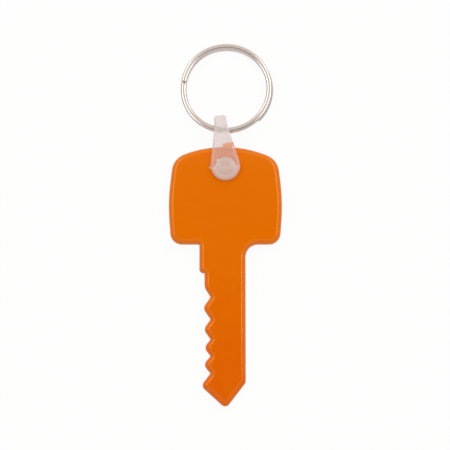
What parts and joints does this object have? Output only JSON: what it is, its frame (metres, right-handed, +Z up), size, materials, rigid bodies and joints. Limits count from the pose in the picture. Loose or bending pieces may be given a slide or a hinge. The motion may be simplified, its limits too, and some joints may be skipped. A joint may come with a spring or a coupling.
{
  "type": "plastic keychain",
  "caption": "Flat key-shaped plastic keychain tag with cut teeth, a folded translucent snap strap through its head and a nickel split ring.",
  "frame": {"origin": "Middle of the keychain's box, on the surface that it lies on", "axes": "+Z up out of the key's front face, +Y along the key from its tip towards the split ring, +X to the right seen from the front"},
  "size_m": [0.03, 0.0971, 0.006],
  "materials": {
    "orange_plastic": "satin moulded orange polypropylene",
    "translucent_plastic": "milky translucent moulded plastic",
    "nickel_plate": "polished nickel plate"
  },
  "bodies": {
    "key": {"key_body": "orange_plastic"},
    "strap": {"snap_strap": "translucent_plastic"},
    "ring": {"split_ring": "nickel_plate"}
  },
  "joints": [
    {"name": "strap_swivel", "type": "hinge", "parent": "key", "child": "strap", "pos_m": [0, 0.01435, 0.00293], "axis": [0, -0.0229, 0.9997], "range_deg": [-30, 35]},
    {"name": "ring_swing", "type": "hinge", "parent": "strap", "child": "ring", "pos_m": [-0.00112, 0.02446, 0.00251], "axis": [0.9914, -0.1312, -0.003], "range_deg": [-120, 100]}
  ]
}
